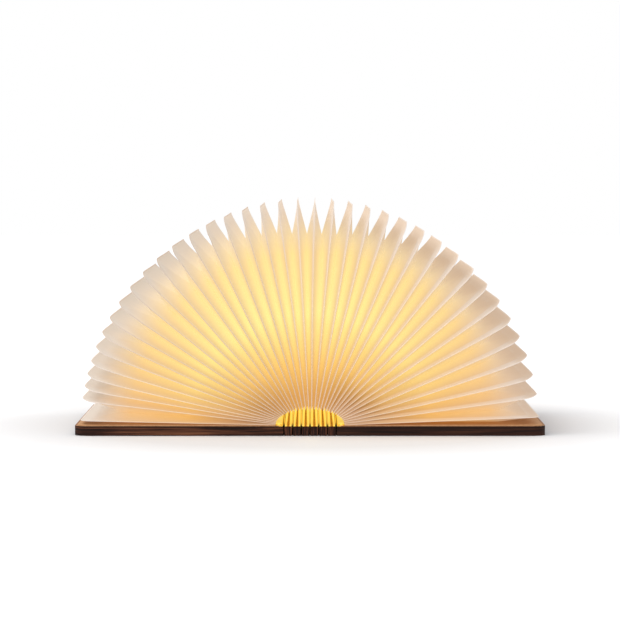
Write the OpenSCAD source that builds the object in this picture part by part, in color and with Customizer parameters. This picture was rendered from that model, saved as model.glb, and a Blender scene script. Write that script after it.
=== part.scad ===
// Folding book lamp: two wooden covers joined by a slatted wooden spine, with a
// pleated paper fan between them that opens to a half circle and glows.
//
// The lamp lies open on its back. X runs across both covers, Y along the spine and
// Z up. The origin is the middle of the underside of the spine.
// Each paper page is a flat strip bent round three sides of a rectangle: the front
// edge, the long outer edge and the back edge. Page u stands on the oval hub over
// the spine at base(u) and reaches out to tip(u). Whole numbers of u are the ridges
// and the halves between them are the valleys. u = 0 lies on the left cover.

/* [Covers] */
// Width of one cover, from the spine to the fore edge
cover_w = 168; // [140:1:200]
// Length of the covers and the spine
book_l = 215; // [190:1:240]
// Thickness of the cover boards and of the slats
board_t = 7.6; // [7.4:0.1:10]
// Radius of the outer corners of the covers
corner_r = 10; // [5:0.5:16]

/* [Spine] */
// Distance from one saw cut of the spine to the next
slat_pitch = 7; // [6:0.1:9]
// Width of the cuts between the slats
kerf = 0.94; // [0.8:0.02:1.2]
// Width of the closed slot along the middle of each slat
slot_w = 0.9; // [0.5:0.1:1.4]
// Wood left beyond each end of that slot
slot_end = 3; // [2:0.5:8]
// Rounding of the lower edges of the slats
slat_round = 0.7; // [0.3:0.1:1]

/* [Paper fan] */
// Ridges in each rigid section of the fan
section_ridges = 3; // [2:1:4]
// Thickness of the paper
paper_t = 0.18; // [0.12:0.01:0.24]
// Width of a page, from its outer edge in to the valley
page_d = 33; // [24:1:42]
// Width of the glued seams along ridges and valleys
seam_w = 1.8; // [1:0.1:3]
// Rounding of the outer corners of a page
page_r = 9; // [5:0.5:12]
// Rounding of the valley corners
valley_r = 2; // [1:0.5:4]
// Cover left bare beyond the outer edge of the pages
page_inset = 4.2; // [3:0.1:8]
// Cover left bare beyond the front and back edges of the pages
page_end = 3; // [2.5:0.1:6]
// How much lower the fan is at the top than a true half circle
fan_flat = 4.8; // [0:0.1:10]
// Lean of the middle pages to the left, in degrees
lean_angle = 7.6; // [0:0.1:9]
// How far the left quarter of the pages sinks and the right quarter rises, in degrees
bunch_angle = 2.3; // [0:0.1:4]
// Two finer waves in how the pages settle, in degrees
third_wave_angle = 1.4; // [0:0.1:2]
fourth_wave_angle = 1.1; // [0:0.1:1.5]
// Extra angle that springs the first page up off the left cover
left_spring_angle = 3.5; // [0:0.1:6]
// Extra angle that springs the last page up off the right cover
right_spring_angle = 2.5; // [0:0.1:6]
// Height of the oval hub above the lining
hub_rise = 12.5; // [9:0.1:18]
// Thickness of the card lining on each cover
lining_t = 0.8; // [0.5:0.1:1.2]
// Cover left bare around the lining
lining_inset = 2.2; // [1:0.1:3]

/* [Lights] */
// Width of the diffuser over each row of lights
diffuser_w = 5; // [4.5:0.1:7]
// Height of the diffusers
diffuser_h = 2.4; // [2:0.1:3]
// Wall of the diffusers
diffuser_wall = 0.8; // [0.5:0.1:0.9]
// Distance from the inner edge of a cover to its diffuser
diffuser_gap = 1.1; // [1:0.1:2]
// Thickness of the lamp strip's circuit
strip_t = 0.3; // [0.2:0.1:0.4]
// Distance between lamps
lamp_pitch = 11; // [8:0.5:16]
// Length of one lamp
lamp_l = 3; // [2:0.1:4]
// Width of one lamp
lamp_w = 2.2; // [1.6:0.1:2.6]
// Height of one lamp
lamp_h = 0.7; // [0.5:0.1:0.9]

/* [Electronics] */
// Width of the battery
battery_w = 50; // [30:1:60]
// Length of the battery
battery_l = 62; // [40:1:70]
// Thickness of the battery
battery_t = 4.2; // [3:0.1:4.5]
// Width of the control board
pcb_w = 38; // [28:1:48]
// Length of the control board
pcb_l = 34; // [26:1:44]
// Thickness of the control board
pcb_t = 1; // [0.8:0.1:1.2]
// Height of the pads under the control board
pad_h = 0.5; // [0.3:0.1:0.6]
// Diameter of those pads
pad_d = 4; // [3.6:0.1:6]
// Distance from the edges of the control board to its screws
screw_inset = 3; // [2.5:0.1:4]
// Diameter of the screws' threads
screw_d = 1.6; // [1.4:0.1:2]
// Diameter of the screws' heads
head_d = 3; // [2.6:0.1:3.6]
// Height of the screws' heads
head_h = 0.9; // [0.6:0.1:1.2]
// Width of the charging socket
socket_w = 9; // [8:0.1:10]
// Height of the charging socket
socket_h = 3.1; // [2.8:0.1:3.2]
// Depth of the charging socket
socket_l = 7.4; // [7:0.1:9]
// Width of the tongue inside the socket
tongue_w = 6.4; // [5:0.1:6.8]
// Thickness of the pocket's lid
lid_t = 1; // [0.8:0.1:1.2]
// Ledge that the lid rests on
lid_ledge = 3; // [2:0.5:5]
// Wood left behind the pocket, at the back edge of the cover
pocket_wall = 5; // [4:0.1:6]
// Distance from the pages' feet to the pocket
pocket_x = 16; // [10:1:26]
// Space round the pieces in the pocket
pocket_gap = 1; // [0.5:0.1:2]
// Width of the flat leads
lead_w = 2; // [1.4:0.1:2.6]
// Thickness of the flat leads
lead_t = 0.8; // [0.6:0.1:1]

/* [Magnets] */
// Diameter of the closing magnets
magnet_d = 8; // [5:0.5:10]
// Thickness of the magnets
magnet_t = 1.6; // [1:0.1:2]
// Distance from the fore edge to the closing magnets
magnet_inset = 14; // [12:0.5:20]
// Distance of the closing magnets from the middle
magnet_y = 78; // [50:1:82]
// Diameter of the magnet that works the switch
switch_magnet_d = 5; // [3:0.5:6]

/* [Hidden] */

// The spine has one saw cut more than it has slats.
slats = 6;
spine_half = slats * slat_pitch / 2;
slat_w = slat_pitch - kerf;
// Each cut closes by this angle when the book is shut.
fold = 180 / (slats + 1);
// The upper edges are relieved, so that they clear one another when shut.
fold_clear = 0.06;
relief_h = board_t / 4;
relief_w = board_t / 2 * tan(fold / 2) - kerf / 2 + fold_clear;

inner_edge = spine_half + kerf / 2;
fore_edge = inner_edge + cover_w;
lining_z = board_t;
page_z = lining_z + lining_t;
// A running space between pieces that only lie side by side.
slack = 0.1;

// The hub stands just outside the diffusers.
hub_half = inner_edge + diffuser_gap + diffuser_w + 2 * slack;
fan_r = fore_edge - page_inset;
page_l = book_l - 2 * page_end;

// Pages: a leaf on each cover, with the sections between them.
sections = 12;
last = sections * section_ridges + 1;
// Half of the space between two sections, at the valley they share.
section_gap = 0.03;
// Inset at which a leaf meets the seam along its valley.
leaf_d = page_d - seam_w;
arc_steps = 4;
short_edge_steps = 3;
oval_steps = 48;

// Lights.
diffuser_mid = inner_edge + diffuser_gap + diffuser_w / 2;
strip_w = diffuser_w - 2 * diffuser_wall - 2 * slack;
lamps = floor((page_l - lamp_l) / lamp_pitch) + 1;

// The pocket in the left cover, which opens upwards.
pocket_h = pad_h + pcb_t + socket_h + 2 * slack;
floor_z = board_t - lid_t - pocket_h;
pocket_w = max(battery_w, pcb_w) + 2 * pocket_gap;
pocket_l = battery_l + pcb_l + 3 * pocket_gap;
pocket_mid = -(hub_half + pocket_x + pocket_w / 2);
pocket_back = book_l / 2 - pocket_wall;
pcb_y = pocket_back - pocket_gap - pcb_l;
battery_y = pcb_y - pocket_gap - battery_l;
pcb_z = floor_z + pad_h;
pcb_top = pcb_z + pcb_t;
screw_tip = floor_z * 0.4;
// The socket stands back from the cover's edge by this much.
socket_back = 0.3;
socket_wall = 0.35;
tongue_t = 0.7;
// The switch chip on the control board faces the switch magnet when shut.
chip_l = 3;
chip_h = 1.2;
chip_x = pocket_mid;
chip_y = pcb_y + pcb_l / 2;

// Half-oval over the spine, with the arc length reached at each step along it.
function oval(f) = [-hub_half * cos(180 * f), page_z + hub_rise * sin(180 * f)];
oval_len = [
    for (i = 0, s = 0; i <= oval_steps;
         s = s + norm(oval((i + 1) / oval_steps) - oval(i / oval_steps)), i = i + 1) s
];
oval_at = [for (i = [0:oval_steps]) [oval_len[i], i / oval_steps]];

// The foot of page u, the angle its tip is seen at from the spine, and its tip.
function base(u) = oval(lookup(u / last * oval_len[oval_steps], oval_at));
function tip_angle(u) =
    let (x = u / last)
    180 * x
    - lean_angle * sin(180 * x) - bunch_angle * sin(360 * x)
    - third_wave_angle * sin(540 * x) - fourth_wave_angle * sin(720 * x)
    + left_spring_angle * min(u, 1) * (1 - x) - right_spring_angle * min(last - u, 1) * x;
function tip(u) =
    let (a = tip_angle(u), r = fan_r - fan_flat * sin(a))
    [-r * cos(a), page_z + r * sin(a)];
function page_len(u) = norm(tip(u) - base(u));
function page_dir(u) = (tip(u) - base(u)) / page_len(u);

// A point of page u: p out from its foot, y along the spine and side off its plane.
function on_page(u, p, y, side) =
    let (d = page_dir(u), q = base(u) + d * p + [d[1], -d[0]] * side) [q[0], y, q[1]];

// Stations round the three edges of a page at an inset from its outline: up the front
// edge, round the two corners and down the back edge. Each is [p, y].
function stations(u, inset) =
    let (top = page_len(u) - inset, half = page_l / 2 - inset)
    let (r = max(page_r - inset, valley_r), m = short_edge_steps)
    concat(
        [for (k = [0:m - 1]) [(top - r) * k / m, -half]],
        [for (k = [0:arc_steps]) let (a = 90 * k / arc_steps)
            [top - r + r * sin(a), -half + r - r * cos(a)]],
        [for (k = [arc_steps:-1:0]) let (a = 90 * k / arc_steps)
            [top - r + r * sin(a), half - r + r * cos(a)]],
        [for (k = [m - 1:-1:0]) [(top - r) * k / m, half]]
    );
station_count = 2 * (short_edge_steps + arc_steps + 1);

// Two triangles over a twisted square of the paper, between profile points i and k and
// the stations whose first points are a and b. Both sides of a leaf fold along the same
// diagonal, so that the thin sheet never passes through itself.
function facets(i, k, a, b, rising) =
    rising ? [[a + i, a + k, b + k], [a + i, b + k, b + i]]
           : [[a + i, a + k, b + i], [a + k, b + k, b + i]];

// Sweeps a closed profile round the pages. A profile point is [u, side, inset] and
// caps lists the triangles that close its two ends.
module swept_paper(profile, caps) {
    n = len(profile);
    rings = [for (q = profile) stations(q[0], q[2])];
    points = [
        for (j = [0:station_count - 1]) for (i = [0:n - 1])
            on_page(profile[i][0], rings[i][j][0], rings[i][j][1], profile[i][1])
    ];
    walls = [
        for (j = [0:station_count - 2]) for (i = [0:n - 1]) let (k = (i + 1) % n)
            let (outwards = profile[k][2] < profile[i][2], front = j < station_count / 2)
            each facets(i, k, j * n, (j + 1) * n, outwards == front)
    ];
    first_cap = [for (f = caps) [f[2], f[1], f[0]]];
    last_cap = [for (f = caps) [for (v = f) v + (station_count - 1) * n]];
    polyhedron(points, concat(walls, first_cap, last_cap));
}

/* Section k of the fan, from one valley to the valley section_ridges further on.
   Its profile runs along the outside of the pleats and back along their inside. Two
   leaves lie flat on each other along every seam: at a ridge over the first seam_w of
   the page, at a valley over the last. */
module page_section(k) {
    n = section_ridges;
    start = (k - 1) * n + 0.5;
    end = start + n;
    t = paper_t;
    g = section_gap;
    outside = [
        for (r = [0:n - 1]) let (u = start + r, ridge = u + 0.5)
            each [[u, r == 0 ? g : 0, leaf_d],
                  [ridge, -t, seam_w], [ridge, -t, 0], [ridge, t, 0], [ridge, t, seam_w]]
    ];
    end_flange = [[end, -g, leaf_d], [end, -g, page_d], [end, -t, page_d], [end, -t, leaf_d]];
    inside = [
        for (r = [n - 1:-1:1]) let (u = start + r)
            each [[u + 0.5, 0, seam_w], [u, t, leaf_d],
                  [u, t, page_d], [u, -t, page_d], [u, -t, leaf_d]]
    ];
    start_flange = [
        [start + 0.5, 0, seam_w], [start, t, leaf_d], [start, t, page_d], [start, g, page_d]
    ];
    // Triangles over one pleat's end: v is its first outside point, w its inside ridge.
    pleat_ends = [
        for (r = [0:n - 1]) let (v = 5 * r, w = 10 * n - 1 - 5 * r)
            each [[v, v + 1, w], [v, w, w + 1], [v + 1, v + 2, w], [v + 2, v + 3, w],
                  [v + 3, v + 4, w], [v + 4, v + 5, w], [v + 5, w - 1, w],
                  [v, w + 1, w + 2], [v, w + 2, w + 3]]
    ];
    flange_ends = [
        for (r = [1:1:n - 1]) let (v = 5 * r, w = 10 * n - 1 - 5 * r) [v, w + 3, w + 4]
    ];
    last_ends = [[5 * n, 5 * n + 1, 5 * n + 2], [5 * n, 5 * n + 2, 5 * n + 3]];
    color("wheat") swept_paper(
        concat(outside, end_flange, inside, start_flange),
        concat(pleat_ends, flange_ends, last_ends)
    );
}

// The first leaf, from its seam on the left lining up to the first valley.
module left_end_leaf() {
    t = paper_t;
    g = section_gap;
    profile = [
        [0, 0, 0], [0, t, 0], [0, t, seam_w], [0.5, -g, leaf_d],
        [0.5, -g, page_d], [0.5, -t, page_d], [0.5, -t, leaf_d], [0, 0, seam_w]
    ];
    ends = [[0, 1, 2], [0, 2, 7], [2, 3, 7], [3, 6, 7], [3, 4, 5], [3, 5, 6]];
    color("bisque") swept_paper(profile, ends);
}

// The last leaf, from the last valley down to its seam on the right lining.
module right_end_leaf() {
    t = paper_t;
    g = section_gap;
    valley = last - 0.5;
    profile = [
        [valley, g, leaf_d], [last, -t, seam_w], [last, -t, 0], [last, 0, 0],
        [last, 0, seam_w], [valley, t, leaf_d], [valley, t, page_d], [valley, g, page_d]
    ];
    ends = [[0, 1, 4], [1, 2, 3], [1, 3, 4], [0, 4, 5], [0, 5, 6], [0, 6, 7]];
    color("bisque") swept_paper(profile, ends);
}

// A sheet from x0 outwards to x1, with two rounded outer corners.
module sheet_outline(x0, x1, half, r) {
    translate([x0, -half]) square([x1 - x0 - r, 2 * half]);
    translate([x0, -half + r]) square([x1 - x0, 2 * (half - r)]);
    for (s = [-1, 1]) translate([x1 - r, s * (half - r)]) circle(r, $fn = 48);
}

// A straight bar of the book's length with the given profile in X and Z.
module along_spine(len) {
    rotate([90, 0, 0]) linear_extrude(len, center = true) children();
}

// The part of a cut's upper edge that is taken off the wood to its right.
module edge_relief() {
    polygon([
        [-kerf, board_t - relief_h], [0, board_t - relief_h],
        [relief_w, board_t], [relief_w, board_t + kerf], [-kerf, board_t + kerf]
    ]);
}

// The right-hand cover board, as it comes from the saw.
module cover_board() {
    difference() {
        linear_extrude(board_t)
            sheet_outline(inner_edge, fore_edge, book_l / 2, corner_r);
        translate([inner_edge, 0, 0]) along_spine(book_l + 2) edge_relief();
    }
}

// Blind holes from above for the closing magnets of the right-hand cover.
module magnets(d, t) {
    for (s = [-1, 1])
        translate([fore_edge - magnet_inset, s * magnet_y, board_t - magnet_t])
            cylinder(h = t, d = d, $fn = 40);
}

module left_cover() {
    color([0.24, 0.16, 0.11]) difference() {
        mirror([1, 0, 0]) cover_board();
        mirror([1, 0, 0]) magnets(magnet_d + slack, magnet_t + 1);
        pocket_cut();
        lid_shape(slack, lid_t + 1);
        socket_cut();
        lead_cut();
        screw_holes(screw_d + slack / 4, screw_tip, board_t);
    }
}

module right_cover() {
    color([0.24, 0.16, 0.11]) difference() {
        cover_board();
        magnets(magnet_d + slack, magnet_t + 1);
        switch_magnet_shape(switch_magnet_d + slack, magnet_t + 1);
    }
}

// The pocket, with four pads left standing on its floor under the control board.
module pocket_cut() {
    difference() {
        translate([pocket_mid - pocket_w / 2, pocket_back - pocket_l, floor_z])
            cube([pocket_w, pocket_l, board_t]);
        screw_places() cylinder(h = pcb_z, d = pad_d, $fn = 32);
    }
}

// The lid, or with a little grown on all round, the rebate that it lies in.
module lid_shape(grow, t) {
    w = pocket_w + 2 * lid_ledge + 2 * grow;
    l = pocket_l + 2 * lid_ledge + 2 * grow;
    translate([pocket_mid - w / 2, pocket_back - pocket_l / 2 - l / 2, board_t - lid_t])
        cube([w, l, t]);
}

module pocket_lid() {
    color([0.36, 0.26, 0.18]) lid_shape(0, lid_t);
}

// Places of the four screws that hold the control board.
module screw_places() {
    for (sx = [-1, 1], sy = [0, 1])
        translate([
            pocket_mid + sx * (pcb_w / 2 - screw_inset),
            pcb_y + (sy == 0 ? screw_inset : pcb_l - screw_inset - socket_l / 2),
            0
        ]) children();
}

module screw_holes(d, from_z, to_z) {
    screw_places() translate([0, 0, from_z]) cylinder(h = to_z - from_z, d = d, $fn = 24);
}

module board_screws() {
    color("silver") screw_places() {
        translate([0, 0, screw_tip]) cylinder(h = pcb_top - screw_tip, d = screw_d, $fn = 24);
        translate([0, 0, pcb_top]) cylinder(h = head_h, d = head_d, $fn = 24);
    }
}

module control_board() {
    color("darkgreen") difference() {
        union() {
            translate([pocket_mid - pcb_w / 2, pcb_y, pcb_z]) cube([pcb_w, pcb_l, pcb_t]);
            translate([chip_x - chip_l / 2, chip_y - chip_l / 2, pcb_top - slack])
                cube([chip_l, chip_l, chip_h + slack]);
        }
        screw_holes(screw_d + slack, pcb_z - 1, pcb_top + 1);
    }
}

// The charging socket stands on the back of the board and reaches through the wall.
module socket_body(w, h, l) {
    r = h / 2;
    rotate([-90, 0, 0]) linear_extrude(l) {
        square([w - 2 * r, h], center = true);
        for (s = [-1, 1]) translate([s * (w / 2 - r), 0]) circle(r, $fn = 32);
    }
}

module socket_cut() {
    translate([pocket_mid, pocket_back - 1, pcb_top + socket_h / 2])
        socket_body(socket_w + 2 * slack, socket_h + 2 * slack, pocket_wall + 2);
}

module charging_socket() {
    y0 = book_l / 2 - socket_back - socket_l;
    color("gainsboro") translate([pocket_mid, y0, pcb_top + socket_h / 2]) {
        difference() {
            socket_body(socket_w, socket_h, socket_l);
            translate([0, 1, 0])
                socket_body(socket_w - 2 * socket_wall, socket_h - 2 * socket_wall, socket_l);
        }
        translate([-tongue_w / 2, slack, -tongue_t / 2])
            cube([tongue_w, socket_l - 1, tongue_t]);
    }
}

module battery() {
    color("silver") translate([pocket_mid - battery_w / 2, battery_y, floor_z])
        cube([battery_w, battery_l, battery_t]);
}

// Flat pair of wires from the battery's end onto the control board.
module battery_lead() {
    color("firebrick") translate([pocket_mid - lead_w / 2, battery_y + battery_l, pcb_top])
        cube([lead_w, pocket_gap + lead_w, lead_t]);
}

// Channel and flat pair of wires from the pocket to the left row of lamps.
module lead_cut() {
    translate([pocket_mid + pocket_w / 2 - 1, battery_y, board_t - lead_t - slack])
        cube([-diffuser_mid - pocket_mid - pocket_w / 2 + 1, lead_w + slack, lead_t + 1]);
}

module lamp_lead() {
    reach = lid_ledge + 2 * slack;
    x0 = pocket_mid + pocket_w / 2 + reach;
    color("firebrick") translate([x0, battery_y, board_t - lead_t])
        cube([-diffuser_mid - x0, lead_w, lead_t]);
}

// A row of small lamps along the inner edge of the right-hand cover.
module lamp_strip() {
    color("ivory") translate([diffuser_mid, 0, board_t]) {
        translate([-strip_w / 2, -page_l / 2, 0]) cube([strip_w, page_l, strip_t]);
        for (i = [0:lamps - 1])
            translate([-lamp_w / 2, (i - (lamps - 1) / 2) * lamp_pitch - lamp_l / 2, 0])
                cube([lamp_w, lamp_l, strip_t + lamp_h]);
    }
}

module right_lamp_strip() {
    lamp_strip();
}

module left_lamp_strip() {
    mirror([1, 0, 0]) lamp_strip();
}

// A milky channel with a rounded top, open underneath over the lamps.
module diffuser() {
    half = diffuser_w / 2;
    r = 1.2;
    color("lightyellow") translate([diffuser_mid, 0, board_t]) along_spine(page_l)
        difference() {
            union() {
                translate([-half, 0]) square([diffuser_w, diffuser_h - r]);
                translate([-half + r, 0]) square([diffuser_w - 2 * r, diffuser_h]);
                for (s = [-1, 1])
                    translate([s * (half - r), diffuser_h - r]) circle(r, $fn = 32);
            }
            translate([-half + diffuser_wall, -1])
                square([diffuser_w - 2 * diffuser_wall, diffuser_h - diffuser_wall + 1]);
        }
}

module right_diffuser() {
    diffuser();
}

module left_diffuser() {
    mirror([1, 0, 0]) diffuser();
}

// Card on the inner face of a cover, under the pages.
module lining() {
    color("linen") translate([0, 0, lining_z]) linear_extrude(lining_t)
        sheet_outline(hub_half, fore_edge - lining_inset,
                      book_l / 2 - lining_inset, corner_r - lining_inset);
}

module right_lining() {
    lining();
}

module left_lining() {
    mirror([1, 0, 0]) lining();
}

module right_magnets() {
    color("silver") magnets(magnet_d, magnet_t);
}

module left_magnets() {
    color("silver") mirror([1, 0, 0]) magnets(magnet_d, magnet_t);
}

module switch_magnet_shape(d, t) {
    translate([-chip_x, chip_y, board_t - magnet_t]) cylinder(h = t, d = d, $fn = 32);
}

module switch_magnet() {
    color("silver") switch_magnet_shape(switch_magnet_d, magnet_t);
}

// Slat k of the spine, counted from the left cover, with its closed middle slot.
module spine_slat(k) {
    half = slat_w / 2;
    r = slat_round;
    color([0.22, 0.14, 0.09]) translate([-spine_half + (k - 0.5) * slat_pitch, 0, 0])
        difference() {
            along_spine(book_l) difference() {
                union() {
                    translate([-half, r]) square([slat_w, board_t - r]);
                    translate([-half + r, 0]) square([slat_w - 2 * r, board_t]);
                    for (s = [-1, 1]) translate([s * (half - r), r]) circle(r, $fn = 24);
                }
                translate([-half, 0]) edge_relief();
                mirror([1, 0]) translate([-half, 0]) edge_relief();
            }
            translate([-slot_w / 2, -book_l / 2 + slot_end, -1])
                cube([slot_w, book_l - 2 * slot_end, board_t + 2]);
        }
}

left_cover();
right_cover();
spine_slat(1);  // spine_slat_1
spine_slat(2);  // spine_slat_2
spine_slat(3);  // spine_slat_3
spine_slat(4);  // spine_slat_4
spine_slat(5);  // spine_slat_5
spine_slat(6);  // spine_slat_6
left_lining();
right_lining();
left_end_leaf();
right_end_leaf();
page_section(1);  // page_section_01
page_section(2);  // page_section_02
page_section(3);  // page_section_03
page_section(4);  // page_section_04
page_section(5);  // page_section_05
page_section(6);  // page_section_06
page_section(7);  // page_section_07
page_section(8);  // page_section_08
page_section(9);  // page_section_09
page_section(10);  // page_section_10
page_section(11);  // page_section_11
page_section(12);  // page_section_12
left_lamp_strip();
right_lamp_strip();
left_diffuser();
right_diffuser();
battery();
control_board();
board_screws();
charging_socket();
pocket_lid();
battery_lead();
lamp_lead();
left_magnets();
right_magnets();
switch_magnet();
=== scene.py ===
import math

import bpy
import numpy as np
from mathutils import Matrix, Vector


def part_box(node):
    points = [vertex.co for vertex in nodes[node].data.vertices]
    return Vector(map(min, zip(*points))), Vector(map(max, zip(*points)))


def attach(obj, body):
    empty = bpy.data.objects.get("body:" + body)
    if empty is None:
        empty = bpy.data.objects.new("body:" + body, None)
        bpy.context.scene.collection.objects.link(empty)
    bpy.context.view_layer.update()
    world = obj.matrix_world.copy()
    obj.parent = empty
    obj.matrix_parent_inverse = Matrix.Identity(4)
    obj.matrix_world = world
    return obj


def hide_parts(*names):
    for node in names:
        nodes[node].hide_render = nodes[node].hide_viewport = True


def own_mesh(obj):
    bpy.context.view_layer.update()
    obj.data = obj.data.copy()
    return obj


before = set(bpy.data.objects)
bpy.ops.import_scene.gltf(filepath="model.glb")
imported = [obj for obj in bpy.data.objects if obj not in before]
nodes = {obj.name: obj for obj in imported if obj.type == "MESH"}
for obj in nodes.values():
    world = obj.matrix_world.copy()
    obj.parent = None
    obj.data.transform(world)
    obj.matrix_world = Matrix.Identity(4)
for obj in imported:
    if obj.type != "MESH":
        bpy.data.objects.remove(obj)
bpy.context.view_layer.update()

# ---------------------------------------------------------------------------------
# Camera. It looks along the spine at the front edges of the covers, from a little
# above the top of the open fan and far enough away for a calm, flat perspective.
# ---------------------------------------------------------------------------------
camera_back = 2.3875
camera_up = 0.2203
camera_lens = 165.5
camera_dip = math.radians(2.993)

camera_data = bpy.data.cameras.new("camera")
camera_data.lens = camera_lens
camera_data.sensor_width = 36.0
camera_data.clip_end = 20.0
camera = bpy.data.objects.new("camera", camera_data)
camera.location = (0.0, -camera_back, camera_up)
camera.rotation_euler = (math.pi / 2 - camera_dip, 0.0, 0.0)
bpy.context.scene.collection.objects.link(camera)
bpy.context.scene.camera = camera

# ---------------------------------------------------------------------------------
# Table and light. A plain white table top, a little whiter by itself away from the
# lamp, under a soft studio: a wide key lamp high on the left, weak lamps in front
# and on the right, and a pale room all round.
# ---------------------------------------------------------------------------------
pure_white = (1.0, 1.0, 1.0, 1.0)
table_drop = 0.0002
table_reach = 6.0
own_white = 0.5
own_white_from, own_white_to = 0.20, 0.44
room_light = 0.67
fan_middle = np.array([0.0, 0.0, 0.07])


def srgb(r, g, b):
    """A display colour of 0 to 255 as the linear colour that gives it, with alpha 1."""
    c = np.array([r, g, b], float) / 255
    linear = np.where(c <= 0.04045, c / 12.92, ((c + 0.055) / 1.055) ** 2.4)
    return (*[float(x) for x in linear], 1.0)


def node(tree, kind, **values):
    """Adds a shader node; a value is set on the input or the property of that name."""
    made = tree.nodes.new("ShaderNode" + kind)
    for name, value in values.items():
        if name in made.bl_rna.properties:
            setattr(made, name, value)
        else:
            made.inputs[name.replace("_", " ")].default_value = value
    return made


def join(tree, *ends):
    """Links output to input for each pair of sockets."""
    for output, target in zip(ends[::2], ends[1::2]):
        tree.links.new(output, target)


def calculate(tree, operation, first, second=None):
    """One Math node over sockets or plain numbers."""
    made = node(tree, "Math", operation=operation)
    for place, value in ((0, first), (1, second)):
        if isinstance(value, (int, float)):
            made.inputs[place].default_value = value
        elif value is not None:
            join(tree, value, made.inputs[place])
    return made.outputs[0]


def between(tree, value, low, high, first=0.0, second=1.0, smooth=False):
    """first below low, second above high, and a straight or a smooth change between."""
    made = node(tree, "MapRange", interpolation_type="SMOOTHSTEP" if smooth else "LINEAR",
                From_Min=low, From_Max=high, To_Min=first, To_Max=second)
    join(tree, value, made.inputs["Value"])
    return made.outputs["Result"]


def seen_by_camera(tree):
    """1 where the camera, or a mirror or glass, sees the surface, otherwise 0."""
    path = node(tree, "LightPath")
    camera, mirror = path.outputs["Is Camera Ray"], path.outputs["Is Glossy Ray"]
    return calculate(tree, "MAXIMUM", calculate(tree, "MAXIMUM", camera, mirror),
                     path.outputs["Is Transmission Ray"])


world = bpy.data.worlds.new("studio")
world.use_nodes = True
bpy.context.scene.world = world
tree = world.node_tree
tree.nodes.clear()
room = node(tree, "Background", Color=srgb(252, 253, 255), Strength=room_light)
white = node(tree, "Background", Color=pure_white, Strength=1.0)
mix = node(tree, "MixShader")
join(tree, seen_by_camera(tree), mix.inputs[0],
     room.outputs[0], mix.inputs[1], white.outputs[0], mix.inputs[2],
     mix.outputs[0], node(tree, "OutputWorld").inputs[0])

table_mesh = bpy.data.meshes.new("table_top")
table_corners = np.array([(-1, -1), (1, -1), (1, 1), (-1, 1)]) * table_reach
table_mesh.from_pydata([(x, y, -table_drop) for x, y in table_corners], [], [(0, 1, 2, 3)])
table_top = bpy.data.objects.new("table_top", table_mesh)
bpy.context.scene.collection.objects.link(table_top)
surface = bpy.data.materials.new("white_table")
surface.use_nodes = True
tree = surface.node_tree
tree.nodes.clear()
matt = node(tree, "BsdfDiffuse", Color=srgb(236, 236, 237))
glow = node(tree, "Emission", Color=pure_white)
both = node(tree, "AddShader")
distance = node(tree, "VectorMath", operation="LENGTH")
join(tree, node(tree, "TexCoord").outputs["Object"], distance.inputs[0],
     matt.outputs[0], both.inputs[0], glow.outputs[0], both.inputs[1],
     both.outputs[0], node(tree, "OutputMaterial").inputs[0])
fade = between(tree, distance.outputs["Value"], own_white_from, own_white_to, 0.0, own_white)
join(tree, calculate(tree, "MULTIPLY", seen_by_camera(tree), fade), glow.inputs["Strength"])
table_mesh.materials.append(surface)


def soft_lamp(name, place, size, power, colour):
    """A square area lamp at place that faces the middle of the fan."""
    data = bpy.data.lights.new(name, "AREA")
    data.size = size
    data.energy = power
    data.color = colour[:3]
    lamp = bpy.data.objects.new(name, data)
    lamp.location = place
    aim = fan_middle - np.array(place)
    across = math.hypot(aim[0], aim[1])
    turn = math.atan2(aim[1], aim[0]) - math.pi / 2
    lamp.rotation_euler = (math.atan2(across, -aim[2]), 0.0, turn)
    bpy.context.scene.collection.objects.link(lamp)


soft_lamp("key_lamp", (-1.25, -0.35, 1.95), 1.3, 21.0, srgb(255, 252, 248))
soft_lamp("fill_lamp", (-0.6, -2.2, 0.8), 1.6, 7.0, srgb(252, 252, 255))
soft_lamp("side_lamp", (1.5, 0.7, 1.0), 1.0, 5.0, srgb(255, 253, 250))

# ---------------------------------------------------------------------------------
# Covers. Each is a board of dark stained plywood with a walnut face inside and
# outside, cut out with a laser: the cut edges are burnt dark, with the plies and
# their glue lines still showing as level streaks. The level faces are walnut paled
# to tan by painted glow from the lit pages.
# ---------------------------------------------------------------------------------
ply_streaks = (14.0, 14.0, 620.0)
face_grain = (420.0, 9.0, 420.0)
burn_marks = (0.36, 0.46, 0.56, 0.68)
light_burn = (srgb(18, 8, 5), srgb(52, 26, 16), srgb(92, 54, 36), srgb(126, 80, 54))
deep_burn = (srgb(18, 8, 5), srgb(36, 18, 11), srgb(56, 30, 20), srgb(70, 42, 26))
lit_strip_end, lit_strip_fade = 0.0245, 0.001
lamp_gold = srgb(250, 214, 84)
black = (0.0, 0.0, 0.0, 1.0)


def material(name, **shader_values):
    """An empty node material with its Principled shader, as (material, tree, shader)."""
    made = bpy.data.materials.new(name)
    made.use_nodes = True
    shader = made.node_tree.nodes["Principled BSDF"]
    for socket, value in shader_values.items():
        shader.inputs[socket.replace("_", " ")].default_value = value
    return made, made.node_tree, shader


def stops(tree, amount, *steps):
    """A colour ramp over amount; each step is (position, colour)."""
    ramp = node(tree, "ValToRGB")
    marks = ramp.color_ramp.elements
    while len(marks) < len(steps):
        marks.new(0.5)
    for mark, (position, colour) in zip(marks, steps):
        mark.position = position
        mark.color = colour
    join(tree, amount, ramp.inputs["Fac"])
    return ramp.outputs["Color"]


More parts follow.
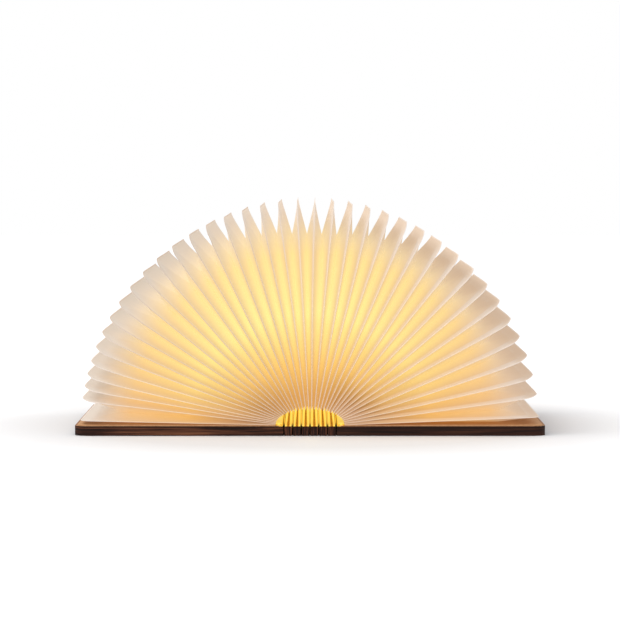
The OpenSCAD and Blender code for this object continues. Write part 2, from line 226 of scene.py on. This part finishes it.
def stretched_noise(tree, stretch, detail=6.0, distortion=0.0):
    """Noise over the object's own coordinates, finer along the axes of larger stretch."""
    scale = node(tree, "Mapping", Scale=stretch)
    noise = node(tree, "TexNoise", Scale=1.0, Detail=detail, Roughness=0.6,
                 Distortion=distortion)
    join(tree, node(tree, "TexCoord").outputs["Object"], scale.inputs["Vector"],
         scale.outputs["Vector"], noise.inputs["Vector"])
    return noise.outputs["Fac"]


def coordinate(tree, axis, kind="Object"):
    """The surface's X, Y or Z on its piece, or that of its normal."""
    split = node(tree, "SeparateXYZ")
    join(tree, node(tree, "TexCoord").outputs[kind], split.inputs[0])
    return split.outputs[axis]


def facing_up_or_down(tree):
    """1 on level faces, 0 on upright ones."""
    tilt = calculate(tree, "ABSOLUTE", coordinate(tree, "Z", "Normal"))
    return between(tree, tilt, 0.6, 0.8)


def facing_up(tree, low=0.02, high=0.2):
    """1 on faces that look up, 0 on all others, by the height of their normal."""
    return between(tree, coordinate(tree, "Z", "Normal"), low, high)


def blend_colours(tree, amount, first, second):
    """first where amount is 0, second where it is 1."""
    mix = node(tree, "Mix", data_type="RGBA")
    for place, value in ((0, amount), (6, first), (7, second)):
        if isinstance(value, (tuple, float)):
            mix.inputs[place].default_value = value
        else:
            join(tree, value, mix.inputs[place])
    return mix.outputs[2]


def paint(tree, shader, base, light=None):
    """Gives a shader its base colour and, where it glows, the colour of its own light."""
    join(tree, base, shader.inputs["Base Color"])
    if light is not None:
        join(tree, light, shader.inputs["Emission Color"])


def rough_surface(tree, shader, stretch, strength, depth):
    """Fine relief of that depth in metres, from noise stretched as given."""
    relief = node(tree, "Bump", Strength=strength, Distance=depth)
    join(tree, stretched_noise(tree, stretch, detail=8.0), relief.inputs["Height"],
         relief.outputs["Normal"], shader.inputs["Normal"])


def plywood(name, burn):
    """Walnut, paled to tan by painted glow from the pages, on level faces and burnt plies
    on cut edges, in four tones of burn, with a narrow strip beside the spine in full lamplight."""
    made, tree, shader = material(name, Roughness=0.8, Specular_IOR_Level=0.2,
                                  Emission_Strength=0.5)
    plies = stops(tree, stretched_noise(tree, ply_streaks, distortion=0.4),
                  *zip(burn_marks, burn))
    # Walnut tones paled to tan: painted glow of the lit pages on the level faces.
    glow_lit_walnut = stops(tree, stretched_noise(tree, face_grain, distortion=0.8),
                   (0.25, srgb(128, 88, 62)), (0.5, srgb(176, 134, 102)),
                   (0.75, srgb(205, 168, 134)))
    bare = blend_colours(tree, facing_up_or_down(tree), plies, glow_lit_walnut)
    from_spine = calculate(tree, "ABSOLUTE", coordinate(tree, "X"))
    near = between(tree, from_spine, lit_strip_end, lit_strip_end + lit_strip_fade, 1.0, 0.0)
    lit_strip = calculate(tree, "MULTIPLY", near, facing_up(tree, 0.5, 0.9))
    paint(tree, shader, blend_colours(tree, lit_strip, bare, lamp_gold),
          blend_colours(tree, lit_strip, black, lamp_gold))
    rough_surface(tree, shader, ply_streaks, 0.35, 0.0004)
    return made


def finish_node(name, made):
    """Gives a carried-over solid its material."""
    nodes[name].data.materials.clear()
    nodes[name].data.materials.append(made)


finish_node("left_cover", plywood("lightly_burnt_ply", light_burn))
finish_node("right_cover", plywood("well_burnt_ply", deep_burn))

# ---------------------------------------------------------------------------------
# Spine. Saw cuts turn the strip between the covers into six slats of the same
# plywood, burnt on their sides. The lamps light their tops golden, and the narrow
# slot along the middle of each slat has smoke stains beside it from the laser.
# ---------------------------------------------------------------------------------
slat_count = 6
slat_pitch = 0.007
kerf = 0.00094
stain_half = 0.0016
stain_reach = 0.1035
edge_dark_from, edge_dark_to = -0.1075, -0.07
slat_streaks = (900.0, 40.0, 60.0)
stain_speckle = (2600.0, 1300.0, 900.0)
slat_names = [f"spine_slat_{k}" for k in range(1, slat_count + 1)]
slat_middles = [(k - (slat_count - 1) / 2) * slat_pitch for k in range(slat_count)]


def slat_wood(name, middle):
    """A slat's wood: burnt on its sides, lit golden on top, stained beside its slot.
    The stain narrows towards the back, and its ragged edge is distance over width plus
    noise. Only a flat top is lit at the front end, and the rounded edges further in."""
    made, tree, shader = material(name, Roughness=0.8, Specular_IOR_Level=0.2,
                                  Emission_Strength=0.5)
    burnt = stops(tree, stretched_noise(tree, slat_streaks),
                  (0.36, srgb(18, 8, 5)), (0.5, srgb(52, 26, 17)), (0.66, srgb(104, 62, 42)))
    along = coordinate(tree, "Y")
    away = calculate(tree, "ABSOLUTE", calculate(tree, "SUBTRACT", coordinate(tree, "X"), middle))
    width = between(tree, along, -stain_reach, stain_reach, stain_half, 0.4 * stain_half)
    ragged = calculate(tree, "ADD", calculate(tree, "DIVIDE", away, width),
                       stretched_noise(tree, stain_speckle, detail=3.0))
    lit = stops(tree, between(tree, ragged, 0.4, 1.9),
                (0.30, srgb(150, 92, 18)), (0.46, srgb(206, 146, 34)),
                (0.60, srgb(246, 204, 72)), (0.80, srgb(254, 224, 104)))
    rounds = calculate(tree, "MAXIMUM", between(tree, along, edge_dark_from, edge_dark_to),
                       facing_up(tree, 0.5, 0.9))
    top = calculate(tree, "MULTIPLY", rounds, facing_up(tree))
    paint(tree, shader, blend_colours(tree, top, burnt, lit),
          blend_colours(tree, top, black, lit))
    rough_surface(tree, shader, slat_streaks, 0.4, 0.0003)
    return made


for name, middle in zip(slat_names, slat_middles):
    finish_node(name, slat_wood(name.replace("spine_slat", "slat_wood"), middle))

# ---------------------------------------------------------------------------------
# Hinge webs. The saw cuts are not open all the way: thin bridges of burnt ply stay
# in them and twist as the spine bends. Each is left standing on its slat, and is lit
# from above behind the front end. A bridge in each slat's own slot holds its halves.
# ---------------------------------------------------------------------------------
web_half_length = 0.101
web_low, web_high = 0.0004, 0.0074
web_play = 0.00006
web_lit_from, web_lit_to = -0.102, -0.07
web_gold = srgb(240, 196, 70)
slot_half = 0.00045
slot_reach = 0.1043
bridge_high = 0.0071

hinge_web, tree, shader = material("hinge_web", Roughness=0.9, Specular_IOR_Level=0.1,
                                   Emission_Strength=0.5)
# Burnt ply and painted shade: the black stands for the dark deep in the saw cuts.
soot_and_kerf_shade = stops(tree, stretched_noise(tree, slat_streaks),
             (0.3, srgb(14, 7, 5)), (0.7, srgb(40, 22, 15)))
lit_part = calculate(tree, "MULTIPLY", facing_up(tree),
                     between(tree, coordinate(tree, "Y"), web_lit_from, web_lit_to))
paint(tree, shader, blend_colours(tree, lit_part, soot_and_kerf_shade, web_gold),
      blend_colours(tree, lit_part, black, web_gold))

slot_bridge, tree, shader = material("slot_bridge", Roughness=0.9, Specular_IOR_Level=0.1,
                                     Emission_Strength=0.4)
# Smoke stain with painted lamplight: the top glows gold.
lit_smoke_stain = stops(tree, stretched_noise(tree, stain_speckle, detail=3.0),
               (0.35, srgb(132, 78, 16)), (0.5, srgb(190, 130, 28)), (0.62, srgb(240, 188, 58)))
top = facing_up(tree)
paint(tree, shader, blend_colours(tree, top, srgb(34, 19, 12), lit_smoke_stain),
      blend_colours(tree, top, black, lit_smoke_stain))


def block(name, low, high, made_of):
    """A closed box between two corners."""
    corners = [(x, y, z) for x in (low[0], high[0]) for y in (low[1], high[1])
               for z in (low[2], high[2])]
    sides = [(0, 1, 3, 2), (4, 6, 7, 5), (0, 4, 5, 1), (2, 3, 7, 6), (0, 2, 6, 4), (1, 5, 7, 3)]
    mesh = bpy.data.meshes.new(name)
    mesh.from_pydata(corners, [], sides)
    mesh.materials.append(made_of)
    made = bpy.data.objects.new(name, mesh)
    bpy.context.scene.collection.objects.link(made)
    return made


strips = ["left_cover"] + slat_names + ["right_cover"]
for k, (before, after) in enumerate(zip(strips, strips[1:])):
    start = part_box(before)[1][0] if before in slat_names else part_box(after)[0][0] - kerf
    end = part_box(after)[0][0] if after in slat_names else start + kerf
    web = block(f"hinge_web_{k + 1}", (start + web_play, -web_half_length, web_low),
                (end - web_play, web_half_length, web_high), hinge_web)
    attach(web, before if before in slat_names else after)

for k, (name, middle) in enumerate(zip(slat_names, slat_middles)):
    half = slot_half - web_play
    bridge = block(f"slot_bridge_{k + 1}", (middle - half, -slot_reach, web_low),
                   (middle + half, slot_reach, bridge_high), slot_bridge)
    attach(bridge, name)

# ---------------------------------------------------------------------------------
# Linings. Smooth card, glued inside each cover under the pages. Its orange tan is
# painted: shade under the end leaves and lamplight coming through the paper onto it.
# ---------------------------------------------------------------------------------
lining_card, tree, shader = material("lining_card", Roughness=0.8)
# Painted shade and lamplight: the card's orange tan.
paint(tree, shader, stops(tree, stretched_noise(tree, (300.0, 300.0, 300.0), detail=3.0),
                          (0.3, srgb(196, 146, 98)), (0.7, srgb(214, 168, 120))))
rough_surface(tree, shader, (1500.0, 1500.0, 1500.0), 0.15, 0.0001)
for name in ("left_lining", "right_lining"):
    finish_node(name, lining_card)

# ---------------------------------------------------------------------------------
# Pages. One long strip of tough translucent paper, creased into a bellows: every
# page is bent round three sides of a rectangle, front, outer edge and back, and the
# ridges and valleys are glued seams. It is made in the sections that move together.
# Page u stands between the covers at 0 and last_page: ridges are the whole numbers,
# and valleys lie half way between them.
# ---------------------------------------------------------------------------------
page_inset = 0.0042
page_end = 0.003
page_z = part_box("left_lining")[1][2]
fan_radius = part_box("right_cover")[1][0] - page_inset
page_length = 2 * (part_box("right_cover")[1][1] - page_end)
hub_half = -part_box("left_lining")[1][0]
hub_rise = 0.0125
fan_flat = 0.0048
page_depth = 0.033
seam = 0.0018
paper = 0.00018
section_gap = 0.00003
page_round = 0.009
valley_round = 0.002
sections = 12
ridges_each = 3
last_page = sections * ridges_each + 1
lean, bunch, third_wave, fourth_wave = 7.6, 2.3, 1.4, 1.1
left_spring, right_spring = 3.5, 2.5
left_lift, right_lift = 1.0, 1.9
foot_spread = 0.058
foot_shift = 0.034
page_sag = 0.0024
page_bend = 0.0005
corner_droop = 0.004
edge_rise = 0.6
leaf_curve = 1.25
sharp_crease = math.radians(35)
left_band, right_band, band_fade = 0.0005, 0.0009, 0.00035
leaf_steps = 12
edge_steps, arc_steps, long_steps = 24, 9, 22

oval_share = np.linspace(0.0, 1.0, 721)


def oval(share):
    """A point on the half oval over the spine that carries the pages' feet."""
    return np.stack([-hub_half * np.cos(np.pi * share),
                     page_z + hub_rise * np.sin(np.pi * share)], axis=-1)


oval_steps = np.linalg.norm(np.diff(oval(oval_share), axis=0), axis=1)
oval_reach = np.concatenate([[0.0], np.cumsum(oval_steps)])


def page_foot(u):
    """Where page u stands on the hub. The feet crowd towards the covers, and they
    stand a little further left than an even spread would put them."""
    x = np.clip(u / last_page, 0.0, 1.0)
    share = x - foot_spread * np.sin(2 * np.pi * x) - foot_shift * np.sin(np.pi * x)
    return oval(np.interp(share * oval_reach[-1], oval_reach, oval_share))


def page_tip(u):
    """The tip of page u, on a half circle that is a little lower in the middle. Its
    angle is an even spread, plus four slow waves for how the pages lean and settle,
    plus the spring and lift of the first and last pages."""
    x = np.clip(u / last_page, 0.0, 1.0)
    from_left, from_right = np.clip(u, 0.0, 1.0), np.clip(last_page - u, 0.0, 1.0)
    degrees = (180 * x - lean * np.sin(np.pi * x) - bunch * np.sin(2 * np.pi * x)
               - third_wave * np.sin(3 * np.pi * x) - fourth_wave * np.sin(4 * np.pi * x)
               + left_spring * from_left * (1 - x) - right_spring * from_right * x
               + left_lift * np.clip(1 - abs(u) / 0.5, 0.0, 1.0)
               - right_lift * np.clip(1 - abs(last_page - u) / 0.5, 0.0, 1.0))
    a = np.radians(degrees)
    r = fan_radius - fan_flat * np.sin(a)
    return np.stack([-r * np.cos(a), page_z + r * np.sin(a)], axis=-1)


def page_outline(length, inset):
    """Points (p, y) round the three edges of a page at a distance in from its outline:
    a straight short edge, a quarter circle, the long edge, and the same back again."""
    top = length - inset
    half = page_length / 2 - inset
    r = np.maximum(page_round - inset, valley_round)
    up = np.linspace(0.0, 1.0, edge_steps + 1)[:, None]
    turn = np.linspace(0.0, np.pi / 2, arc_steps + 1)[1:, None]
    along = np.linspace(-1.0, 1.0, long_steps + 1)[1:-1, None]
    p = np.concatenate([up * (top - r), top - r + r * np.sin(turn)])
    y = np.concatenate([0 * up - half, r - half - r * np.cos(turn)])
    return (np.concatenate([p, top + 0 * along, p[::-1]]),
            np.concatenate([y, along * (half - r), -y[::-1]]))


# How each ridge and valley bends its own way: a bow along it and a twist.
bends = np.random.default_rng(11).normal(size=(2 * last_page + 3, 2))


def on_page(u, side, inset):
    """Points on the planes of pages u, side off each plane, and their share of the way
    out. Each page bows and twists a little its own way and sags under its weight, most
    in the middle of its height. Its corners hang below its outer edge: the droop grows
    with the fourth power of the way out and lies in the last tenth of the length."""
    foot, tip = page_foot(u), page_tip(u)
    length = np.linalg.norm(tip - foot, axis=-1)
    out = (tip - foot) / length[:, None]
    p, y = page_outline(length, inset)
    share = p / length
    own = bends[np.round(2 * u).astype(int) + 1]
    bow = page_bend * (own[:, 0] * np.sin(np.pi * share) + own[:, 1] * share * y / page_length)
    droop = corner_droop * share ** 4 * (edge_rise - np.abs(2 * y / page_length) ** 14)
    droop = droop * -out[:, 0] * (0.45 + out[:, 1])
    off = side + (bow + droop) * np.clip(np.minimum(u, last_page - u), 0.0, 1.0)
    sag = page_sag * (1 - share ** 14) * (1 - (1 - share) ** 4) * np.abs(out[:, 0])
    sag = sag * np.clip(np.minimum(u, last_page - u) / 2, 0.0, 1.0)
    return np.stack([foot[:, 0] + out[:, 0] * p + out[:, 1] * off, y,
                     foot[:, 1] + out[:, 1] * p - out[:, 0] * off - sag], axis=-1), share


def leaf(ridge, valley, side_at_ridge, side_at_valley, face, outwards):
    """One surface of a leaf, from its seam on the ridge down to its seam in the valley.
    A row is ridge, valley, share of the way between their planes, side, inset and face;
    face is -1 towards the left cover and 1 towards the right one."""
    x = np.linspace(0.0, 1.0, leaf_steps + 1)
    rows = np.stack([0 * x + ridge, 0 * x + valley, x ** leaf_curve,
                     side_at_ridge + (side_at_valley - side_at_ridge) * x,
                     seam + (page_depth - 2 * seam) * x, 0 * x + face], axis=-1)
    return rows[::-1] if outwards else rows


def corner_of(u, side, inset, face):
    """A corner of a glued seam, as one row."""
    return np.array([[u, u, 0.0, side, inset, face]])


def section_profile(k):
    """The closed profile of section k, over its outside and back along its inside."""
    start = (k - 1) * ridges_each + 0.5
    end = start + ridges_each
    rows = []
    for r in range(ridges_each):
        valley, ridge, final = start + r, start + r + 0.5, r == ridges_each - 1
        rows += [leaf(ridge, valley, -paper, 0.0 if r else section_gap, -1, True),
                 corner_of(ridge, -paper, 0.0, -1), corner_of(ridge, paper, 0.0, 1),
                 leaf(ridge, valley + 1, paper, -section_gap if final else 0.0, 1, False)]
        if not final:
            rows[-1] = rows[-1][:-1]
    rows += [corner_of(end, -section_gap, page_depth, 1), corner_of(end, -paper, page_depth, 1)]
    for r in range(ridges_each - 1, -1, -1):
        valley, ridge = start + r, start + r + 0.5
        rows += [leaf(ridge, valley + 1, 0.0, -paper, 1, True),
                 leaf(ridge, valley, 0.0, paper, -1, False)[1:],
                 corner_of(valley, paper, page_depth, -1),
                 corner_of(valley, -paper if r else section_gap, page_depth, 1)]
    return np.concatenate(rows)


def folded_paper(name, rows):
    """A closed mesh swept from a profile round the three edges of its pages. On each
    point it stores the share of the way out, the share of the leaf's depth in from the
    outline, the distance beside its ridge, its place in the fan and the way it faces."""
    ridge, valley, part, side, inset, face = rows.T
    on_ridge, out_ridge = on_page(ridge, side, inset)
    on_valley, out_valley = on_page(valley, side, inset)
    points = on_ridge * (1 - part)[None, :, None] + on_valley * part[None, :, None]
    rounds, ring = points.shape[:2]
    index = np.arange(rounds * ring).reshape(rounds, ring)
    beside = np.roll(index, -1, axis=1)
    quads = np.stack([index[:-1], beside[:-1], beside[1:], index[1:]], axis=-1).reshape(-1, 4)
    mesh = bpy.data.meshes.new(name)
    mesh.from_pydata(points.reshape(-1, 3).tolist(), [],
                     quads.tolist() + [index[0, ::-1].tolist(), index[-1].tolist()])
    stored = {"out": out_ridge * (1 - part) + out_valley * part,
              "inset": np.broadcast_to(inset / page_depth, (rounds, ring)),
              "beside": np.linalg.norm(on_valley - on_ridge, axis=-1) * part,
              "fan": np.broadcast_to((ridge * (1 - part) + valley * part) / last_page,
                                     (rounds, ring)),
              "face": np.broadcast_to(face, (rounds, ring))}
    for key, values in stored.items():
        layer = mesh.attributes.new(key, "FLOAT", "POINT")
        layer.data.foreach_set("value", np.ascontiguousarray(values, np.float32).ravel())
    mesh.shade_smooth()
    mesh.set_sharp_from_angle(angle=sharp_crease)
    made = bpy.data.objects.new(name, mesh)
    bpy.context.scene.collection.objects.link(made)
    return made


def stored(tree, name):
    """A value stored on the folded paper's points."""
    return node(tree, "Attribute", attribute_name=name).outputs["Fac"]


def times(tree, first, *others):
    """The product of two or more sockets or numbers."""
    for other in others:
        first = calculate(tree, "MULTIPLY", first, other)
    return first


def soft(tree, value, low, high, first=0.0, second=1.0):
    """first below low, second above high, and a smooth change between them."""
    return between(tree, value, low, high, first, second, smooth=True)


def grey(share):
    """A plain grey, for a ramp that stands for a number."""
    return (share, share, share, 1.0)


lit_paper, tree, shader = material("lit_paper", Roughness=0.7, Specular_IOR_Level=0.25,
                                   Emission_Strength=1.0)

# How far out each point lies, mottled a little, and where it is in the fan.
mottle = stretched_noise(tree, (45.0, 45.0, 45.0), detail=3.0)
out = calculate(tree, "ADD", stored(tree, "out"),
                times(tree, calculate(tree, "SUBTRACT", mottle, 0.5), 0.06))
fan = stored(tree, "fan")
inset = stored(tree, "inset")
face = stored(tree, "face")
centred = calculate(tree, "SUBTRACT", times(tree, fan, 2.0), 1.0)
to_cover = calculate(tree, "ABSOLUTE", centred)
to_left = soft(tree, face, -0.2, 0.2, 1.0, 0.0)

# The lamps' colour in the paper, yellow and bright in the middle of the fan, browner
# beside the covers, and nearly white at the tips.
in_middle = stops(tree, out, (0.06, srgb(226, 176, 98)), (0.20, srgb(245, 206, 120)),
                  (0.45, srgb(252, 238, 162)), (0.75, srgb(251, 228, 160)),
                  (0.95, srgb(236, 222, 204)))
by_covers = stops(tree, out, (0.06, srgb(160, 126, 98)), (0.20, srgb(196, 150, 104)),
                  (0.45, srgb(236, 190, 112)), (0.75, srgb(238, 198, 138)),
                  (0.95, srgb(230, 214, 198)))
low = stops(tree, to_cover, (0.25, grey(0.0)), (0.57, grey(0.2)), (0.73, grey(0.45)),
            (0.84, grey(0.65)), (0.95, grey(1.0)))
lit = blend_colours(tree, low, in_middle, by_covers)

# Double paper in the seams lets less light through, least on the upper left.
seam_colour = stops(tree, out, (0.06, srgb(226, 192, 158)), (0.2, srgb(236, 202, 156)),
                    (0.45, srgb(245, 214, 174)), (0.7, srgb(241, 212, 178)),
                    (0.95, srgb(230, 214, 200)))
shaded_seams = times(tree, soft(tree, fan, 0.10, 0.20), soft(tree, fan, 0.42, 0.52, 0.85, 0.0))
seam_colour = blend_colours(tree, shaded_seams, seam_colour, srgb(200, 168, 136))

# A seam shows at the outline of a page and as a thin band on its left face.
seam_share = seam / page_depth
at_outline = soft(tree, inset, 0.35 * seam_share, 0.6 * seam_share, 1.0, 0.0)
band_reach = times(tree, soft(tree, out, 0.0, 0.4, 0.3, 1.0),
                   soft(tree, fan, 0.42, 0.55, left_band, right_band))
past_band = calculate(tree, "SUBTRACT", stored(tree, "beside"), band_reach)
in_band = times(tree, soft(tree, past_band, 0.0, band_fade, 1.0, 0.0), to_left,
                soft(tree, out, 0.90, 0.97, 1.0, 0.0))
on_seam = calculate(tree, "MAXIMUM", at_outline, in_band)

# Shade: on the left faces and near the ridges, round the hub, and at the tips, which
# are tan on the right and grey on the left.
shaded_side = calculate(tree, "MAXIMUM", to_left, soft(tree, fan, 0.45, 0.6))
dimness = times(tree, soft(tree, out, 0.7, 0.95, 1.0, 0.3),
                soft(tree, shaded_side, 0.0, 1.0, 0.65, 1.0),
                soft(tree, inset, 0.0, 0.85, 0.62, 0.0))
lit = blend_colours(tree, dimness, lit, srgb(206, 158, 112))
hub_shade = times(tree, soft(tree, out, 0.04, 0.26, 0.6, 0.0), soft(tree, inset, 0.02, 0.5),
                  soft(tree, to_cover, 0.1, 0.7, 0.2, 1.0),
                  soft(tree, fan, 0.5, 0.85, 0.6, 1.1))
lit = blend_colours(tree, hub_shade, lit, srgb(150, 92, 44))
tan_tips = times(tree, soft(tree, out, 0.82, 0.96), soft(tree, fan, 0.4, 0.75, 0.0, 0.66))
lit = blend_colours(tree, tan_tips, lit, srgb(202, 162, 112))
grey_tips = times(tree, soft(tree, out, 0.86, 0.98), soft(tree, fan, 0.2, 0.5, 0.55, 0.0))
lit = blend_colours(tree, grey_tips, lit, srgb(186, 176, 160))
lit = blend_colours(tree, on_seam, lit, seam_colour)

# Painted lamplight in the paper weakens towards the tips, where the room's light takes over.
painted_lamp_glow = times(tree, soft(tree, out, 0.70, 1.0, 0.52, 0.26),
                  between(tree, on_seam, 0.0, 1.0, 1.0, 0.75))
paper_white = blend_colours(tree, 0.6, lit, srgb(244, 238, 232))
paint(tree, shader, blend_colours(tree, times(tree, painted_lamp_glow, 0.8), paper_white, black),
      blend_colours(tree, painted_lamp_glow, black, lit))
rough_surface(tree, shader, (900.0, 900.0, 900.0), 0.12, 0.00008)

for k in range(1, sections + 1):
    section = folded_paper(f"folded_pages_{k:02d}", section_profile(k))
    section.data.materials.append(lit_paper)
    middle = np.array([(k - 0.5) * ridges_each + 0.5])
    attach(section, f"page_section_{k:02d}")
    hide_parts(f"page_section_{k:02d}")
    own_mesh(section)

# ---------------------------------------------------------------------------------
# End leaves. The first and last pages: each rises from a glue line on the lining to
# a ridge that stands a few millimetres clear of the cover, and goes on to the first
# or last valley of the fan.
# ---------------------------------------------------------------------------------
glue_line = 0.5


def end_leaf_profile(ridge, away):
    """From the glue line on the lining, round the ridge and up to the first valley;
    away is 1 for the left leaf, whose fan lies to its right, and -1 for the right."""
    under, over, t = ridge - away * glue_line, ridge + away * 0.5, paper * away
    rows = np.concatenate([
        leaf(ridge, under, -t, 0.0, -away, True), corner_of(ridge, -t, 0.0, -away),
        corner_of(ridge, t, 0.0, away), leaf(ridge, over, t, -section_gap * away, away, False),
        corner_of(over, -section_gap * away, page_depth, away),
        corner_of(over, -t, page_depth, away), leaf(ridge, over, 0.0, -t, away, True),
        leaf(ridge, under, 0.0, t, -away, False)[1:]])
    return rows if away > 0 else rows[::-1]


for name, ridge, away, body in (("left_end_page", 0.0, 1, "left_cover"),
                                ("right_end_page", float(last_page), -1, "right_cover")):
    end_page = folded_paper(name, end_leaf_profile(ridge, away))
    end_page.data.materials.append(lit_paper)
    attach(end_page, body)
    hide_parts(name.replace("page", "leaf"))
    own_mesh(end_page)

# ---------------------------------------------------------------------------------
# Rows of lamps. A thin white circuit with small lamps lies along the inner edge of
# each cover, under a milky plastic channel that spreads their warm light.
# ---------------------------------------------------------------------------------
edge_fade = 0.0001
channel_low, channel_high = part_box("left_diffuser")
milky_plastic, tree, shader = material("milky_plastic", Roughness=0.5, Specular_IOR_Level=0.2,
                                       Emission_Strength=0.62)
spread = soft(tree, coordinate(tree, "Z"), channel_low[2], channel_high[2])
warm = stops(tree, spread, (0.0, srgb(214, 150, 34)), (0.5, srgb(250, 208, 70)),
             (1.0, srgb(254, 226, 104)))
paint(tree, shader, blend_colours(tree, 0.5, warm, black), warm)
for name in ("left_diffuser", "right_diffuser"):
    finish_node(name, milky_plastic)

circuit_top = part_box("left_lamp_strip")[0][2] + 0.00035
lamp_circuit, tree, shader = material("lamp_circuit", Roughness=0.4, Emission_Strength=0.7)
on_lamp = soft(tree, coordinate(tree, "Z"), circuit_top, circuit_top + edge_fade)
paint(tree, shader, blend_colours(tree, on_lamp, srgb(236, 212, 150), srgb(250, 208, 80)),
      blend_colours(tree, on_lamp, black, srgb(254, 222, 110)))
for name in ("left_lamp_strip", "right_lamp_strip"):
    finish_node(name, lamp_circuit)

# ---------------------------------------------------------------------------------
# Electronics. A flat battery, a control board on four screws and a charging socket
# lie in a pocket in the left cover, under a lid of thin raw plywood; flat red leads
# join the battery, the board and the lamps.
# ---------------------------------------------------------------------------------
pouch_foil, tree, shader = material("pouch_foil", Metallic=0.85, Roughness=0.35)
paint(tree, shader, stops(tree, stretched_noise(tree, (160.0, 160.0, 160.0)),
                          (0.3, srgb(168, 170, 174)), (0.7, srgb(208, 210, 212))))
rough_surface(tree, shader, (140.0, 140.0, 140.0), 0.5, 0.0004)
finish_node("battery", pouch_foil)

board_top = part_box("control_board")[0][2] + 0.00105
green_board, tree, shader = material("green_board", Roughness=0.4)
lacquer = stops(tree, stretched_noise(tree, (500.0, 500.0, 500.0), detail=2.0),
                (0.4, srgb(8, 74, 40)), (0.6, srgb(18, 98, 56)))
on_chip = soft(tree, coordinate(tree, "Z"), board_top, board_top + edge_fade)
paint(tree, shader, blend_colours(tree, on_chip, lacquer, srgb(26, 26, 28)))
rough_surface(tree, shader, (700.0, 700.0, 700.0), 0.2, 0.0001)
finish_node("control_board", green_board)


def brushed_metal(name, tone, roughness, streaks):
    """Metal with fine brushed streaks, a seventh darker than its tone between them."""
    made, tree, shader = material(name, Metallic=1.0, Roughness=roughness)
    darker = srgb(*[int(0.86 * c) for c in tone])
    paint(tree, shader, stops(tree, stretched_noise(tree, streaks), (0.3, darker),
                              (0.7, srgb(*tone))))
    rough_surface(tree, shader, streaks, 0.15, 0.00005)
    return made


zinc = brushed_metal("zinc_plate", (200, 200, 198), 0.3, (900.0, 900.0, 900.0))
finish_node("board_screws", zinc)
steel = brushed_metal("stamped_steel", (196, 198, 200), 0.32, (300.0, 40.0, 2200.0))
finish_node("charging_socket", steel)
nickel = brushed_metal("nickel_plate", (206, 202, 192), 0.18, (500.0, 500.0, 500.0))
for name in ("left_magnets", "right_magnets", "switch_magnet"):
    finish_node(name, nickel)

lid_ply, tree, shader = material("raw_ply", Roughness=0.7)
paint(tree, shader, stops(tree, stretched_noise(tree, (260.0, 12.0, 900.0), distortion=0.6),
                          (0.3, srgb(120, 88, 60)), (0.7, srgb(158, 122, 88))))
rough_surface(tree, shader, (400.0, 20.0, 900.0), 0.3, 0.0002)
finish_node("pocket_lid", lid_ply)

flat_lead, tree, shader = material("flat_lead", Roughness=0.5)
paint(tree, shader, stops(tree, stretched_noise(tree, (900.0, 900.0, 900.0), detail=2.0),
                          (0.3, srgb(140, 22, 18)), (0.7, srgb(176, 34, 28))))
rough_surface(tree, shader, (1800.0, 1800.0, 1800.0), 0.1, 0.00005)
for name in ("battery_lead", "lamp_lead"):
    finish_node(name, flat_lead)

# ---------------------------------------------------------------------------------
# Standard colours.
# ---------------------------------------------------------------------------------
bpy.context.scene.view_settings.view_transform = "Standard"
